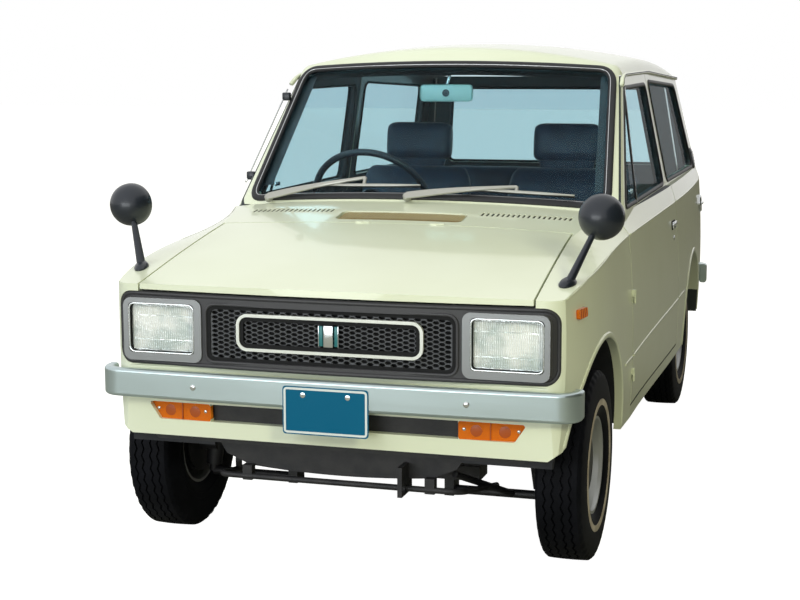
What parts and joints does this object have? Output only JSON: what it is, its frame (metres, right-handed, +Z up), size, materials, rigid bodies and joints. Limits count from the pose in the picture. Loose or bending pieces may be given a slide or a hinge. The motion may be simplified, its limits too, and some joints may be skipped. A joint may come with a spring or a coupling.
{
  "type": "kei car with a van tail",
  "caption": "Small two-door kei car with a van tail: hinged doors, bonnet and tailgate, coupled steering and freely turning road wheels.",
  "frame": {"origin": "on the ground, midway between the bumpers' outer faces, on the centre plane", "axes": "+Z up, nose towards -Y, +X is the car's left side"},
  "size_m": [1.42, 2.995, 1.3648],
  "materials": {
    "paint": "gloss",
    "dark_paint": "satin",
    "underbody": "matte",
    "window_glass": "clear",
    "lamp_glass": "fluted clear",
    "amber": "gloss",
    "red_lens": "gloss",
    "bumper_steel": "satin",
    "bezel": "satin",
    "panel_black": "satin",
    "ring_white": "gloss",
    "plate": "gloss",
    "tyre": "matte",
    "wheel_steel": "satin",
    "iron": "matte",
    "engine_metal": "cast",
    "exhaust_steel": "dull",
    "seat_cloth": "vinyl",
    "dash": "grained",
    "wheel_rim_black": "satin",
    "mirror_black": "gloss",
    "wiper_metal": "satin"
  },
  "bodies": {
    "body": {"fenders": "paint", "quarter_panels": "paint", "cowl_panel": "paint", "roof_panel": "paint", "front_valance": "paint", "tail_panel": "paint", "windscreen": "window_glass", "quarter_glass": "window_glass", "grille_panel": "panel_black", "grille": "panel_black", "grille_ring": "ring_white", "headlamp_bezels": "bezel", "headlamp_lenses": "lamp_glass", "amber_lamps": "amber", "tail_lamps": "red_lens", "front_bumper": "bumper_steel", "rear_bumper": "bumper_steel", "number_plates": "plate", "floor_pan": "underbody", "inner_wings": "underbody", "front_suspension": "iron", "rear_axle": "iron", "engine": "engine_metal", "exhaust": "exhaust_steel", "front_seats": "seat_cloth", "rear_seat": "seat_cloth", "dashboard": "dash", "fender_mirrors": "mirror_black", "wipers": "wiper_metal"},
    "bonnet": {"bonnet": "paint"},
    "door_left": {"door_left": "paint", "door_glass_left": "window_glass"},
    "door_right": {"door_right": "paint", "door_glass_right": "window_glass"},
    "tailgate": {"tailgate": "paint", "tailgate_glass": "window_glass"},
    "steering_wheel": {"steering_wheel": "wheel_rim_black"},
    "knuckle_left": {"knuckle_left": "iron"},
    "knuckle_right": {"knuckle_right": "iron"},
    "road_wheel_front_left": {"wheel_front_left": "wheel_steel", "tyre_front_left": "tyre"},
    "road_wheel_front_right": {"wheel_front_right": "wheel_steel", "tyre_front_right": "tyre"},
    "road_wheel_rear_left": {"wheel_rear_left": "wheel_steel", "tyre_rear_left": "tyre"},
    "road_wheel_rear_right": {"wheel_rear_right": "wheel_steel", "tyre_rear_right": "tyre"}
  },
  "joints": [
    {"name": "steer_left", "type": "hinge", "parent": "body", "child": "knuckle_left", "pos_m": [0.478, -1.1, 0.18], "axis": [-0.1407, 0, 0.9901], "range_deg": [-30, 30]},
    {"name": "steer_right", "type": "hinge", "parent": "body", "child": "knuckle_right", "pos_m": [-0.478, -1.1, 0.18], "axis": [0.1407, 0, 0.9901], "range_deg": [-30, 30]},
    {"name": "steering_wheel_turn", "type": "hinge", "parent": "body", "child": "steering_wheel", "pos_m": [-0.25, -0.52, 0.738], "axis": [0, 0.8601, 0.5101], "range_deg": [-450, 450]},
    {"name": "spin_front_left", "type": "hinge", "parent": "knuckle_left", "child": "road_wheel_front_left", "pos_m": [0.568, -1.1, 0.254], "axis": [1, 0, 0], "continuous": true},
    {"name": "spin_front_right", "type": "hinge", "parent": "knuckle_right", "child": "road_wheel_front_right", "pos_m": [-0.568, -1.1, 0.254], "axis": [1, 0, 0], "continuous": true},
    {"name": "spin_rear_left", "type": "hinge", "parent": "body", "child": "road_wheel_rear_left", "pos_m": [0.539, 0.9, 0.254], "axis": [1, 0, 0], "continuous": true},
    {"name": "spin_rear_right", "type": "hinge", "parent": "body", "child": "road_wheel_rear_right", "pos_m": [-0.539, 0.9, 0.254], "axis": [1, 0, 0], "continuous": true},
    {"name": "door_left_hinge", "type": "hinge", "parent": "body", "child": "door_left", "pos_m": [0.65, -0.63475, 0.6], "axis": [0, 0, -1], "range_deg": [0, 65]},
    {"name": "door_right_hinge", "type": "hinge", "parent": "body", "child": "door_right", "pos_m": [-0.65, -0.63475, 0.6], "axis": [0, 0, 1], "range_deg": [0, 65]},
    {"name": "bonnet_hinge", "type": "hinge", "parent": "body", "child": "bonnet", "pos_m": [0, -0.90225, 0.863], "axis": [-1, 0, 0], "range_deg": [0, 55]},
    {"name": "tailgate_hinge", "type": "hinge", "parent": "body", "child": "tailgate", "pos_m": [0, 1.29, 1.23875], "axis": [1, 0, 0], "range_deg": [0, 80]}
  ],
  "couplings": [
    {"joint": "steer_right", "follows": "steer_left", "ratio": 1},
    {"joint": "steering_wheel_turn", "follows": "steer_left", "ratio": 15}
  ]
}
